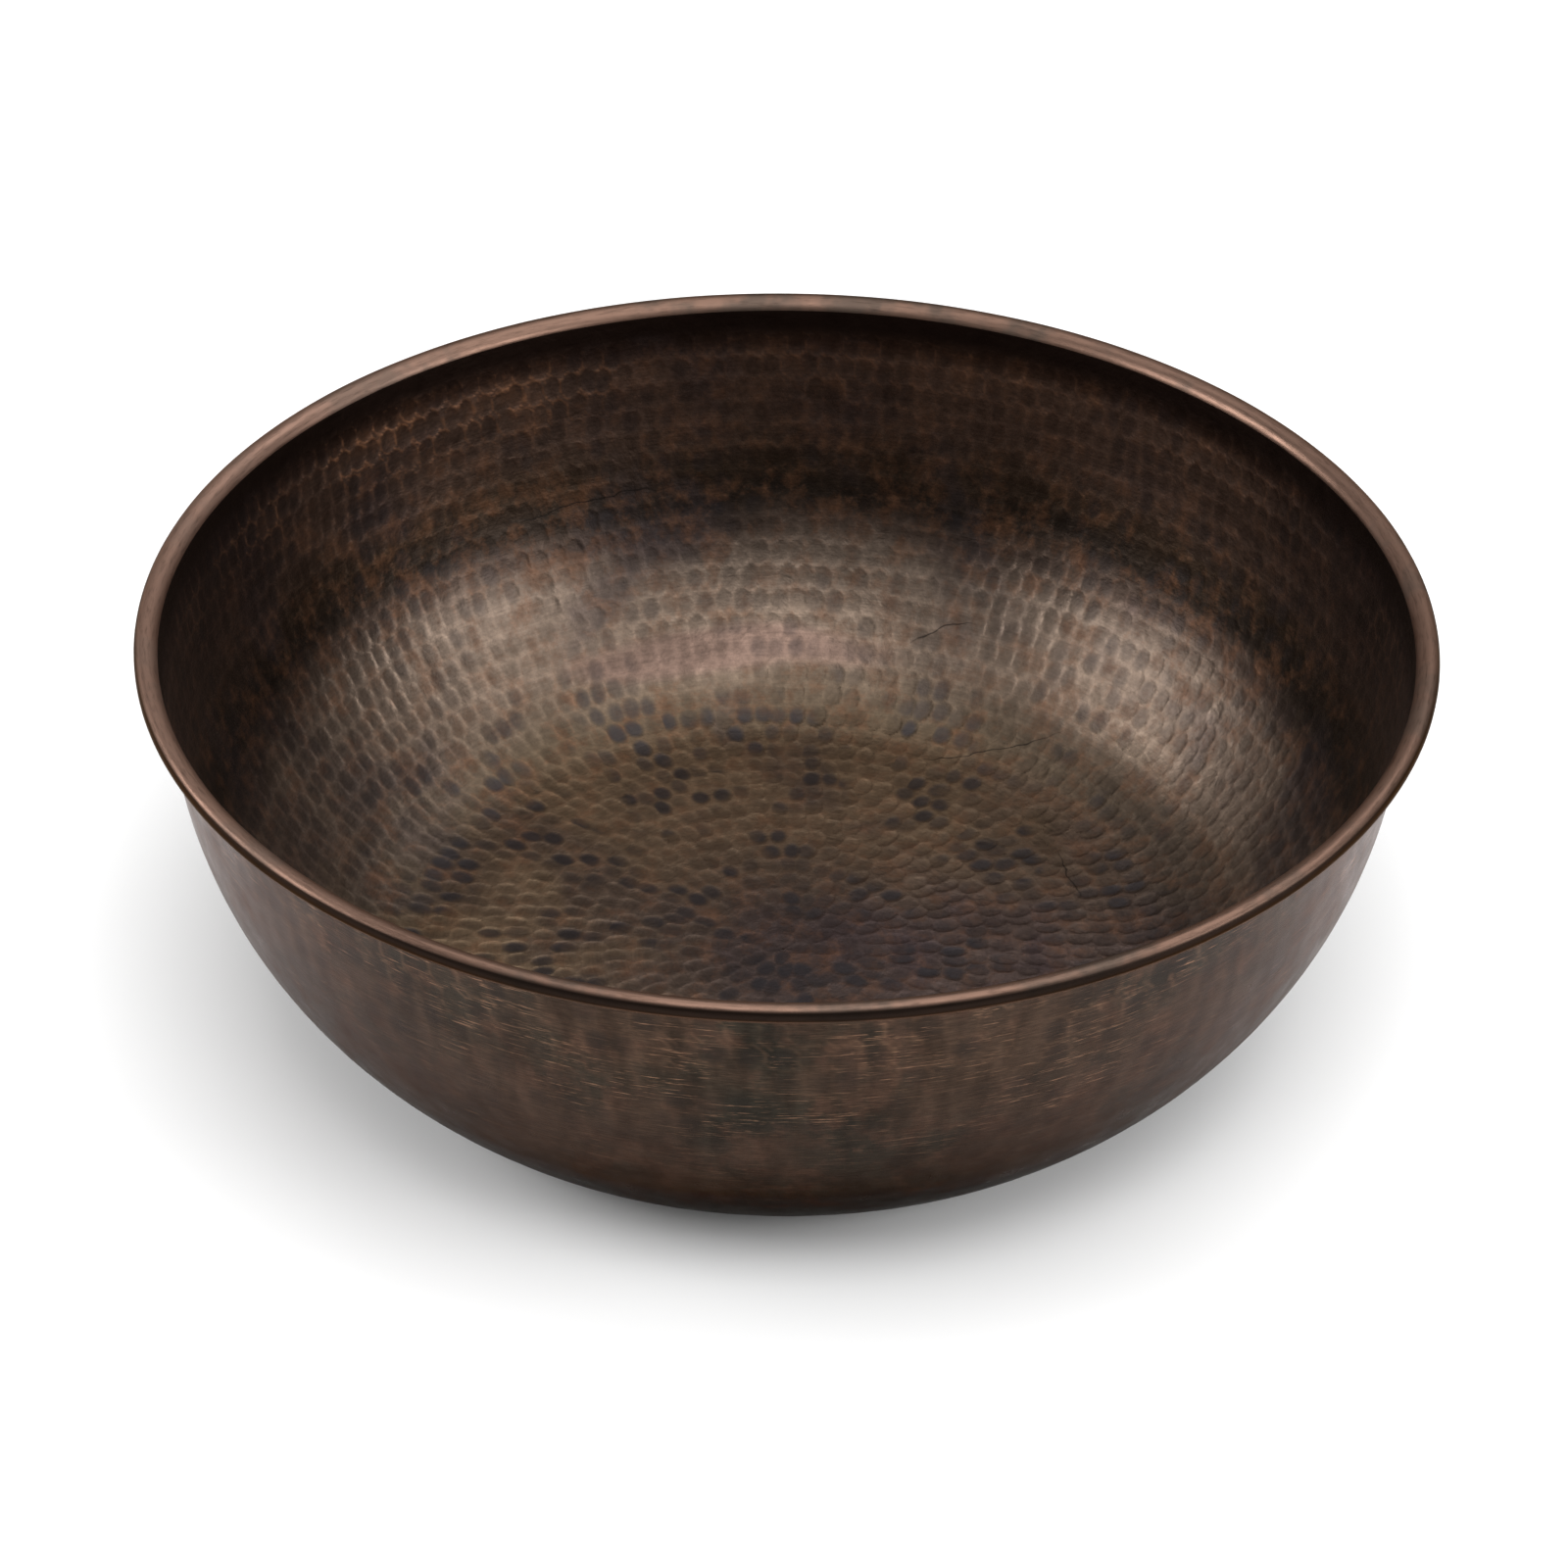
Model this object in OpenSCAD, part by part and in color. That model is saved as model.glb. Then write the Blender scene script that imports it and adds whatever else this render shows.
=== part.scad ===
// Hammered copper bowl: one raised sheet with a flat floor, a round corner and a steep wall, whose edge
// is rolled outwards over a wire ring. Millimetres, +Z up, origin at the middle of the resting face.

/* [Overall] */
// Outside diameter, over the rolled rim
bowl_d = 457; // [400:1:560]
// Height from the resting face to the top of the rim
bowl_h = 152; // [120:1:190]
// Diameter of the flat resting face
base_d = 256; // [200:1:310]

/* [Sheet and wall] */
// Thickness of the copper sheet
sheet_t = 1.2; // [0.8:0.1:1.8]
// Outside radius of the bend between floor and wall
corner_r = 58; // [30:1:72]
// Lean of the wall away from upright, just under the rim
wall_lean = 7.7; // [4:0.1:10]
// Length of the straight band of wall under the rim
band_l = 36; // [10:1:45]

/* [Rolled rim] */
// Diameter of the rim bead, sheet and wire together
bead_d = 6.4; // [5:0.1:8]
// Outside radius of the flare that carries the wall over into the bead
flare_r = 5.2; // [5.1:0.1:9]
// How far the sheet is wrapped round the wire, past the top of the bead
wrap_angle = 255; // [200:1:262]
// Clearance between the wire and the sheet round it
wire_play = 0.05; // [0.05:0.01:0.2]
// Clearance between the tucked-in edge of the sheet and the wall
tuck_gap = 0.4; // [0.2:0.1:1]
// Clearance between the two cut ends of the wire
wire_end_gap = 0.6; // [0.3:0.1:2]

/* [Hidden] */
$fn = 180;
// Largest step along an arc of the section, in degrees
arc_step = 6;

copper = "#6b4f3e";
iron = "#5a5652";

// Everything below is in the half section: x is the distance from the axis, y the height.
function polar(r, a) = r * [cos(a), sin(a)];
// The angle that a direction points in.
function heading(v) = atan2(v[1], v[0]);

bead_r = bead_d / 2;
wire_r = bead_r - sheet_t - wire_play;
bead_c = [bowl_d / 2 - bead_r, bowl_h - bead_r];

// The wall's direction just under the rim, and its normal that points into the bowl.
wall_up = polar(1, 90 - wall_lean);
wall_in = polar(1, 180 - wall_lean);

// The flare's arc is tangent to the wall's inner face and to the bead's outer circle.
flare_off = bead_r + tuck_gap + sheet_t - flare_r;
flare_drop = sqrt(pow(flare_r - bead_r, 2) - pow(flare_off, 2));
flare_c = bead_c + flare_off * wall_in - flare_drop * wall_up;
flare_end = heading(bead_c - flare_c);

// Lower end of the straight band, on its outer face.
band_foot = flare_c + (flare_r - sheet_t) * wall_in - band_l * wall_up;

// Radius of the flat base. It stays past the point where a single arc from the band would touch the base,
// so that the wall can't sag below it, however wide the bowl is.
single_r = band_foot[1] / (1 - sin(wall_lean));
base_r = max(base_d / 2, band_foot[0] - single_r * cos(wall_lean) + 4);

// How far the band's line passes outside the edge of the resting face.
band_off = (band_foot[0] - base_r) * cos(wall_lean) - band_foot[1] * sin(wall_lean);
// The corner stays less round than a circle that touches the base and the band's line, so that there is
// room for the wall's arc between them.
corner = min(corner_r, 0.92 * band_off / (1 - sin(wall_lean)));
corner_c = [base_r, corner];

// The wall's arc leaves the band along its line and runs tangent into the corner's arc.
reach = band_foot - corner_c;
wall_r = (reach * reach - pow(corner, 2)) / (-2 * (reach * wall_in + corner));
wall_c = band_foot + wall_r * wall_in;
corner_end = heading(corner_c - wall_c);

// Points along an arc round a centre, from one heading to another, both ends included.
function arc(centre, r, from, to) =
    let (steps = ceil(abs(to - from) / arc_step))
    [for (i = [0 : steps]) centre + polar(r, from + (to - from) * i / steps)];

// One face of the sheet, from the axis to its tucked-in edge. An inset of 0 gives the face that looks
// out and down, and an inset of the sheet's thickness gives the one that holds the bowl's contents.
function face(inset) = concat(
    [[0, inset]],
    arc(corner_c, corner - inset, -90, corner_end),
    arc(wall_c, wall_r - inset, corner_end, -wall_lean)
);

// The same face past the straight band: over the flare and round the wire.
function roll(inset) = concat(
    arc(flare_c, flare_r - inset, 180 - wall_lean, flare_end),
    arc(bead_c, bead_r - inset, flare_end, flare_end - wrap_angle)
);

// The face that looks out below the rim lies against the wire inside the roll, so the insets swap.
module shell_section() {
    out = concat(face(0), roll(sheet_t));
    back = concat(face(sheet_t), roll(0));
    polygon(concat(out, [for (i = [len(back) - 1 : -1 : 0]) back[i]]));
}

module bowl_shell() {
    color(copper)
        rotate_extrude()
            shell_section();
}

// The wire is a ring cut once, with its ends at the back.
module rim_wire() {
    gap = wire_end_gap / bead_c[0] * 180 / PI;
    color(iron)
        rotate([0, 0, 90 + gap / 2])
            rotate_extrude(angle = 360 - gap)
                translate(bead_c)
                    circle(wire_r);
}

bowl_shell();
rim_wire();
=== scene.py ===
import math
import bpy
import numpy as np
from mathutils import Matrix, Vector


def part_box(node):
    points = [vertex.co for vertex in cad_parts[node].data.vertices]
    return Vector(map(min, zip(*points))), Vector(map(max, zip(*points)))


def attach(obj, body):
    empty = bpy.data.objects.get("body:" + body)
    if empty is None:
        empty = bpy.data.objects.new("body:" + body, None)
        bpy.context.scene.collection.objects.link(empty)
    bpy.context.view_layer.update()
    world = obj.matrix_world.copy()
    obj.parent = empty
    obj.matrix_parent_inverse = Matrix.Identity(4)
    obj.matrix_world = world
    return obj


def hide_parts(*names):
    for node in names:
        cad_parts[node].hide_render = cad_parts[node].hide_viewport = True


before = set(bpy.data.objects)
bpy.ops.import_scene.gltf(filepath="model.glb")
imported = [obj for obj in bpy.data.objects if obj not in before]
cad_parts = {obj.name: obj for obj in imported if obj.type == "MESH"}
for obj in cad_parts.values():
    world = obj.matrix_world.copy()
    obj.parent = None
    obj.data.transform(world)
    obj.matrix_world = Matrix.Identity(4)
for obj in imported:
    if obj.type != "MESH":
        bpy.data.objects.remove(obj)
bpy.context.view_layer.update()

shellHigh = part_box("bowl_shell")[1]  # the corner with the largest x, y and z
mm = 0.001
print("frame loaded")

# The half section of the copper sheet, in mm. Its overall size comes from the frame.
sheet = {
    "outerRadius": shellHigh[0] / mm,
    "height": shellHigh[2] / mm,
    "thickness": 1.2,
    "baseRadius": 128.0,
    "cornerRadius": 58.0,
    "wallLean": 7.7,  # degrees away from upright, under the rim
    "bandLength": 36.0,  # straight stretch of wall under the rim
    "beadRadius": 3.2,
    "flareRadius": 5.2,
    "wrapAngle": 255.0,
    "tuckGap": 0.4,
}


# A point at a distance and a heading in degrees.
def polar(radius, degrees):
    angle = np.radians(degrees)
    return radius * np.stack([np.cos(angle), np.sin(angle)], axis=-1)


# The heading of a vector, in degrees.
def heading(v):
    return math.degrees(math.atan2(v[1], v[0]))


# The stretches of one face of the sheet, from the axis to its tucked-in edge: (start, end) is a line and
# (centre, radius, from, to) an arc. An inset of 0 is the outside face, and the thickness the inside one.
def sectionStretches(inset):
    lean, bead, flare = sheet["wallLean"], sheet["beadRadius"], sheet["flareRadius"]
    corner, thickness, base = sheet["cornerRadius"], sheet["thickness"], sheet["baseRadius"]
    up, inward = polar(1, 90 - lean), polar(1, 180 - lean)
    beadCentre = np.array([sheet["outerRadius"] - bead, sheet["height"] - bead])
    off = bead + sheet["tuckGap"] + thickness - flare
    drop = math.sqrt((flare - bead) ** 2 - off**2)
    flareCentre = beadCentre + off * inward - drop * up
    flareEnd = heading(beadCentre - flareCentre)
    bandFoot = flareCentre + (flare - thickness) * inward - sheet["bandLength"] * up
    cornerCentre = np.array([base, corner])
    reach = bandFoot - cornerCentre
    # the wall's arc leaves the band along its line and runs tangent into the corner's arc
    wallRadius = (reach @ reach - corner**2) / (-2 * (reach @ inward + corner))
    wallCentre = bandFoot + wallRadius * inward
    cornerEnd = heading(cornerCentre - wallCentre)
    foot = bandFoot + inset * inward
    return [
        (np.array([0.0, inset]), np.array([base, inset])),
        (cornerCentre, corner - inset, -90.0, cornerEnd),
        (wallCentre, wallRadius - inset, cornerEnd, -lean),
        (foot, foot + sheet["bandLength"] * up),
        (flareCentre, flare - thickness + inset, 180 - lean, flareEnd),
        (beadCentre, bead - thickness + inset, flareEnd, flareEnd - sheet["wrapAngle"]),
    ]


# A line's length, or an arc's turn in radians times its radius.
def stretchLength(stretch):
    if len(stretch) == 2:
        return float(np.linalg.norm(stretch[1] - stretch[0]))
    return abs(math.radians(stretch[3] - stretch[2])) * stretch[1]


insideStretches = sectionStretches(sheet["thickness"])
insideLengths = [stretchLength(s) for s in insideStretches]
flareStart = sum(insideLengths[:4])  # where the rolled rim begins, in mm along the inside face
rollEnd = sum(insideLengths)


# Radius and height of a face, and its normal from the inside face to the outside one, at each distance
# along the inside face. Both faces have the same stretches, so a share of a stretch holds for both.
def walkSection(inset, along):
    spot = np.zeros(along.shape + (2,))
    normal = np.zeros(along.shape + (2,))
    start = 0.0
    for stretch, length in zip(sectionStretches(inset), insideLengths):
        chosen = along >= start - 1e-9
        share = np.clip((along[chosen] - start) / length, 0, 1)[:, None]
        if len(stretch) == 2:
            line = stretch[1] - stretch[0]
            spot[chosen] = stretch[0] + share * line
            normal[chosen] = np.array([line[1], -line[0]]) / np.linalg.norm(line)
        else:
            turned = stretch[2] + share[:, 0] * (stretch[3] - stretch[2])
            spot[chosen] = stretch[0] + polar(stretch[1], turned)
            normal[chosen] = polar(1 if stretch[3] > stretch[2] else -1, turned)
        start += length
    return spot, normal


# Marks of the raising hammer: ovals in rings, long side up the wall, each dished into the sheet. They were
# struck one after another round the bowl, so each is steep and deep on the side where the next one lapped it.
marks = {
    "seed": 18,
    "ringPitch": 9.6,  # mm from ring to ring
    "markPitch": 7.4,  # mm from mark to mark round a ring
    "halfWidth": 3.9,
    "halfHeight": 5.3,
    "depth": 0.21,
    "steepness": 1.7,  # 1 is a paraboloid, more gives a flatter middle and a crisper edge
    "lap": -0.6,  # share by which one side of a mark is deeper than its middle
    "ridge": 0.010,  # mm of depth over which two marks blend
    "lightAngle": 195.0,  # degrees, the middle of the side that was struck more lightly
    "plainBand": 8.0,  # mm of wall under the rim that is left smooth
    "uneven": 0.05,  # mm of slow unevenness of the whole face
}
# Marks of the planishing hammer on the outside: flatter, larger and almost smoothed away.
planish = {
    "ringPitch": 11.5,
    "markPitch": 10.0,
    "halfWidth": 5.3,
    "halfHeight": 6.2,
    "depth": 0.05,
    "steepness": 1.0,
    "lap": 0.0,
    "ridge": 0.015,
    "plainBand": 3.0,
    "uneven": 0.1,
}
# How much the marks differ from one another, as shares of their own sizes and pitches.
variety = {
    "upward": 0.08,
    "across": 0.11,
    "slant": 0.10,
    "width": 0.12,
    "height": 0.10,
    "depth": 0.35,
    "lean": 0.3,
}
# The floor was struck less evenly than the wall, so its marks stray more, up to this distance along in mm.
stray = {"from": 110.0, "to": 160.0, "extra": 1.0}
ringWander = 1.6  # mm by which a ring of marks wanders up and down
outlineWidth = 0.35  # how far the outline of a mark reaches, in squared half sizes
# Shares of the marks' depth that use has taken inside, and the distances along in mm between which each sets in.
wear = {
    "burnished": 0.93,
    "middle": 0.4,
    "middleEdge": (20, 70),
    "lightSide": 0.6,  # the side that was struck more lightly, from the floor's edge up
    "lightTurn": (15, 55),  # degrees to each side of its middle
    "lightFrom": (140, 170),
    "halfWayUp": 0.45,
    "halfWayFrom": (218, 236),
    "halfWayTo": (284, 294),
}
deepest = 0.55  # mm that the inside face may lie inside the smooth sheet
# The turn of the floor into the bend is spread over this much to each side of the floor's edge, in mm.
turnIn = 14.0
bendFade = (170, 290)  # mm along over which its rise dies away again
# A place at the far side where the bend of the floor was burnished nearly smooth.
burnish = {"angle": 99.0, "halfAngle": 25.0, "along": 178.0, "halfLength": 11.0}

rng = np.random.default_rng(marks["seed"])
markTable = rng.uniform(-1, 1, (48, 260, 6))  # each mark's shift round, shift along, depth, size, slant, tone
ringTable = rng.uniform(0, 1, 48)
phaseTable = rng.uniform(0, 2 * np.pi, (8, 24))
radiusAlong = np.linspace(0, rollEnd, 4000)
radiusTable = walkSection(sheet["thickness"], radiusAlong)[0][:, 0]


# A slow wander over the bowl, about -1 to 1: sines of the angle and of the distance, each with its own phase.
def waves(angle, along, row):
    phase = phaseTable[row]
    total = np.zeros_like(angle)
    for turn in range(1, 7):
        drift = along * (0.006 + 0.004 * turn)
        total += np.sin(turn * angle + drift + phase[turn]) / turn**0.7
        total += np.sin((turn + 2) * angle - 1.7 * drift + phase[turn + 8]) / (turn + 1) ** 0.7
    return total / 3.2


# Rises smoothly from 0 to 1 between two values.
def ease(value, low, high):
    share = np.clip((value - low) / (high - low), 0, 1)
    return share * share * (3 - 2 * share)


# Depth of the marks under the smooth face, and the numbers that colour follows: how deep inside a mark each
# point lies (0 outside, 1 at a middle), its mark's tone, and how near it is to the mark's outline. A mark's
# depth is one less a power of its squared distance in half sizes, times a lean from side to side. The surface
# is the deepest mark at each point, or the untouched face, blended over the ridge.
def hammered(style, angle, along):
    pitch = style["ringPitch"]
    radius = np.maximum(np.interp(along, radiusAlong, radiusTable), 1.0)
    wandered = along + ringWander * waves(angle, np.full_like(along, 40), 0)
    loose = 1 + stray["extra"] * (1 - ease(along, stray["from"], stray["to"]))
    ring0 = np.floor(wandered / pitch).astype(int)
    total = np.ones_like(angle)
    tone = np.zeros_like(angle)
    nearest = np.full_like(angle, 9.0)
    for ringStep in (-1, 0, 1):
        ring = ring0 + ringStep
        row = np.clip(ring, 0, 40)
        middle = (row + 0.5) * pitch
        middleRadius = np.interp(np.clip(middle, 2, flareStart), radiusAlong, radiusTable)
        count = np.maximum(np.round(2 * np.pi * middleRadius / style["markPitch"]), 4)
        phase = angle / (2 * np.pi) * count + ringTable[row] * 3
        for markStep in (-1, 0, 1):
            step = np.floor(phase) + markStep
            own = markTable[row, np.mod(step, count).astype(int)]
            upward = wandered - middle - variety["upward"] * loose * pitch * own[..., 1]
            across = phase - step - 0.5 - variety["across"] * loose * own[..., 0]
            across = across * 2 * np.pi * radius / count
            halfWidth = style["halfWidth"] * (1 + variety["width"] * own[..., 3])
            halfHeight = style["halfHeight"] * (1 + variety["height"] * own[..., 2])
            share = (across + variety["slant"] * own[..., 4] * upward) / halfWidth
            squared = share**2 + (upward / halfHeight) ** 2
            lean = np.clip(1 + style["lap"] * (1 + variety["lean"] * own[..., 4]) * share, 0.1, 2)
            depth = style["depth"] * (1 + variety["depth"] * own[..., 2])
            deep = depth * (1 - squared ** style["steepness"]) * lean
            weight = np.where(ring < 0, 0, np.exp(np.clip(deep / style["ridge"], -60, 60)))
            total += weight
            tone += weight * own[..., 5]
            nearest = np.where(ring < 0, nearest, np.minimum(nearest, squared))
    outline = np.clip(1 - np.abs(1 - nearest) / outlineWidth, 0, 1)
    numbers = {"cup": np.clip(1 - nearest, 0, 1), "tone": tone / total, "outline": outline, "burnish": tone * 0}
    return style["ridge"] * np.log(total), numbers


# How far the face stands above a sharp start of the bend: a slope that grows as a square over the turn-in,
# less the arc it replaces. It dies away up the wall.
def bendRise(along):
    bend = sheet["cornerRadius"] - sheet["thickness"]
    past = np.clip(along - sheet["baseRadius"], -turnIn, turnIn)
    raised = (past + turnIn) ** 3 / (12 * turnIn * bend) - np.maximum(past, 0) ** 2 / (2 * bend)
    return raised * (1 - ease(along, *bendFade))


# 1 in the middle of the burnished place, falling to 0 at its wavy edge.
def burnished(angle, along):
    turned = (np.degrees(angle) - burnish["angle"] + 180) % 360 - 180
    far = (turned / burnish["halfAngle"]) ** 2 + ((along - burnish["along"]) / burnish["halfLength"]) ** 2
    return 1 - ease(far + 0.35 * waves(angle * 3, along * 6, 5), 0.25, 1.15)


# 1 over the marked wall, falling to 0 at the plain band under the rim.
def bandFade(style, along):
    plain = flareStart - style["plainBand"]
    return 1 - ease(along, plain - 8, plain + 6)


# The slow unevenness of a face, in mm: one plus the waves, dying away over the last 20 mm under the rim.
def unevenness(style, angle, along, row):
    return style["uneven"] * (1 + waves(angle, along, row)) * (1 - ease(along, flareStart - 20, flareStart))


# How far a face lies inside the smooth sheet, in mm, and the numbers that its colour follows: the marks' depth
# times the share that wear has left, plus the unevenness, less the rise at the bend.
def insideRelief(angle, along):
    depth, numbers = hammered(marks, angle, along)
    numbers["burnish"] = burnished(angle, along)
    left = np.clip(0.85 + 0.45 * waves(angle, along, 1), 0.2, 1.2) * (1 - wear["burnished"] * numbers["burnish"])
    left = left * (1 - wear["middle"] + wear["middle"] * ease(along, *wear["middleEdge"]))
    fromLight = np.abs((np.degrees(angle) - marks["lightAngle"] + 180) % 360 - 180)
    light = (1 - ease(fromLight, *wear["lightTurn"])) * ease(along, *wear["lightFrom"])
    halfWay = ease(along, *wear["halfWayFrom"]) * (1 - ease(along, *wear["halfWayTo"]))
    left = left * (1 - wear["lightSide"] * light) * (1 - wear["halfWayUp"] * halfWay)
    fade = bandFade(marks, along)
    numbers["cup"], numbers["outline"] = numbers["cup"] * fade, numbers["outline"] * fade
    relief = np.minimum(depth * left * fade + unevenness(marks, angle, along, 2), deepest)
    return relief - bendRise(along), numbers


# The outside's marks and unevenness lie inside the sheet too, which is the other way along its normal.
def outsideRelief(angle, along):
    depth, numbers = hammered(planish, angle, along)
    slow = unevenness(planish, angle, along, 3) * ease(along, 126, 160)  # the resting face stays flat
    return -(depth * bandFade(planish, along) * ease(along, 118, 140) + slow), numbers


# Shallow dents of the rolled edge, which set in over its first 3 mm.
def rimRelief(angle, along):
    dent = 0.05 * (1 + waves(angle * 6, along * 4, 4)) * ease(along, flareStart, flareStart + 3)
    return dent, noRelief(angle, along)[1]


# A smooth face.
def noRelief(angle, along):
    blank = np.zeros_like(angle)
    return blank, {"cup": blank, "tone": blank, "outline": blank, "burnish": blank}


# Points of a face in metres: the section's point, moved along its normal by the relief, turned to its angle.
def surfacePoints(angle, along, inset, relief):
    spot, normal = walkSection(inset, along)
    spot = (spot + normal * relief(angle, along)[0][:, None]) * mm
    return np.stack([spot[:, 0] * np.cos(angle), spot[:, 0] * np.sin(angle), spot[:, 1]], axis=-1)


# The way a face looks at each of its points: across the two directions to points half a millimetre round the
# bowl and half a millimetre along the section. So skins that share a seam shade as one.
def surfaceNormals(angle, along, inset, relief):
    here = surfacePoints(angle, along, inset, relief)
    radius = np.maximum(np.interp(along, radiusAlong, radiusTable), 1.0)
    step = np.where(along > rollEnd - 0.5, -0.5, 0.5)
    around = surfacePoints(angle + 0.5 / radius, along, inset, relief) - here
    onward = (surfacePoints(angle, along + step, inset, relief) - here) * np.sign(step)[:, None]
    normal = np.cross(onward, around) * (1 if inset else -1)
    size = np.linalg.norm(normal, axis=1, keepdims=True)
    return np.where(size > 1e-12, normal / np.maximum(size, 1e-12), (0, 0, 1 if inset else -1))


# A square grid folded to a disc: ring k of the square becomes the circle k steps out, so that the cells stay
# even and the middle closes. Also gives the outer loop in the order of its angle.
def discGrid(rings, step):
    i, j = np.meshgrid(np.arange(-rings, rings + 1), np.arange(-rings, rings + 1), indexing="ij")
    wide = np.abs(i) >= np.abs(j)
    reach = np.where(wide, i, j).astype(float)
    safe = np.where(reach == 0, 1, reach)
    angle = np.where(wide, np.pi / 4 * j / safe, np.pi / 2 - np.pi / 4 * i / safe)
    angle = np.mod(np.where(reach < 0, angle + np.pi, angle) + 1e-12, 2 * np.pi)
    along = np.abs(reach) * step
    number = np.arange(i.size).reshape(i.shape)
    quads = np.stack([number[:-1, :-1], number[1:, :-1], number[1:, 1:], number[:-1, 1:]], axis=-1)
    loop = np.flatnonzero((np.abs(reach) == rings).ravel())
    loop = loop[np.argsort(angle.ravel()[loop])]
    return angle.ravel(), along.ravel(), quads.reshape(-1, 4), loop


# A grid round the bowl between two distances along the section, with its first and last loops.
def ringGrid(columns, start, end, rows):
    angle, along = np.meshgrid(np.arange(columns) * 2 * np.pi / columns, np.linspace(start, end, rows + 1))
    number = np.arange(angle.size).reshape(angle.shape)
    turned = np.roll(number, -1, axis=1)
    quads = np.stack([number[:-1], number[1:], turned[1:], turned[:-1]], axis=-1)
    return angle.ravel(), along.ravel(), quads.reshape(-1, 4), number[0], number[-1]


# Triangles between a fine loop and a coarse one that has one point to every so many of the fine ones: a fan
# from each coarse point, and one triangle halfway to the next.
def seamStrip(fine, coarse):
    share = len(fine) // len(coarse)
    near = (np.arange(len(fine)) + share // 2) // share % len(coarse)
    fans = np.stack([fine, np.roll(fine, -1), coarse[near]], axis=-1)
    links = np.stack([fine[(share + 1) // 2::share], np.roll(coarse, -1), coarse], axis=-1)
    return np.concatenate([fans, links])


# Puts points with their normals, four-sided and three-sided faces into a mesh object at the origin.
def makePiece(name, points, normals, quads, triangles, numbers, material):
    mesh = bpy.data.meshes.new(name)
    mesh.vertices.add(len(points))
    mesh.vertices.foreach_set("co", points.astype(np.float32).ravel())
    mesh.loops.add(quads.size + triangles.size)
    mesh.loops.foreach_set("vertex_index", np.concatenate([quads.ravel(), triangles.ravel()]).astype(np.int32))
    mesh.polygons.add(len(quads) + len(triangles))
    starts = np.concatenate([np.arange(len(quads)) * 4, quads.size + np.arange(len(triangles)) * 3])
    mesh.polygons.foreach_set("loop_start", starts.astype(np.int32))
    mesh.update(calc_edges=True)
    mesh.polygons.foreach_set("use_smooth", np.ones(len(starts), bool))
    mesh.normals_split_custom_set_from_vertices(normals.astype(np.float32))
    for key, values in numbers.items():
        mesh.attributes.new(key, "FLOAT", "POINT").data.foreach_set("value", values.astype(np.float32))
    mesh.materials.append(material)
    piece = bpy.data.objects.new(name, mesh)
    bpy.context.scene.collection.objects.link(piece)
    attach(piece, "root")
    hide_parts("bowl_shell")
    print(name, len(quads) * 2 + len(triangles), "triangles")


# How deep each skin's hidden back lies, in mm from the outside face.
skinBack = {"inside": 0.50, "outside": 0.42}


# A closed skin of the sheet: a fine front with its relief, a coarse back inside the sheet where nothing
# shows, and seam strips between their loops. Each seam is (fine loop, coarse loop, outer one or not).
def makeSkin(name, front, back, seams, inset, relief, material):
    angle, along, quads = front
    backAngle, backAlong, backQuads = back
    middle = skinBack["inside" if inset else "outside"]
    points = surfacePoints(angle, along, inset, relief)
    backPoints = surfacePoints(backAngle, backAlong, middle, noRelief)
    normals = surfaceNormals(angle, along, inset, relief)
    backNormals = surfaceNormals(backAngle, backAlong, middle, noRelief) * (-1 if inset else 1)
    seamFaces = [seamStrip(fine, coarse + len(points))[:, ::-1 if outer else 1] for fine, coarse, outer in seams]
    allQuads = np.concatenate([quads, backQuads[:, ::-1] + len(points)])
    triangles = np.concatenate(seamFaces)
    if inset == 0:
        allQuads, triangles = allQuads[:, ::-1], triangles[:, ::-1]
    numbers = {key: np.concatenate([values, backAngle * 0]) for key, values in relief(angle, along)[1].items()}
    numbers["along"] = np.concatenate([along, backAlong]) * mm
    makePiece(name, np.concatenate([points, backPoints]), np.concatenate([normals, backNormals]), allQuads,
              triangles, numbers, material)


# An sRGB hex colour as linear numbers: each part over 12.92 near black, and a power of 2.4 above that.
def linearColour(hexColour):
    value = [int(hexColour[i:i + 2], 16) / 255 for i in (1, 3, 5)]
    return tuple(v / 12.92 if v <= 0.04045 else ((v + 0.055) / 1.055) ** 2.4 for v in value) + (1.0,)


# Adds a node with its settings, and links or sets each of its inputs.
def addNode(tree, kind, inputs=None, **settings):
    node = tree.nodes.new("ShaderNode" + kind)
    for key, value in settings.items():
        setattr(node, key, value)
    for key, value in (inputs or {}).items():
        if isinstance(value, bpy.types.NodeSocket):
            tree.links.new(value, node.inputs[key])
        else:
            node.inputs[key].default_value = value
    return node


# A material with an empty node tree.
def newMaterial(name):
    material = bpy.data.materials.new(name)
    material.use_nodes = True
    tree = material.node_tree
    tree.nodes.clear()
    return material, tree


# Scale of a pattern whose features are this many mm across.
def perMetre(size):
    return 1000 / size


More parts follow.
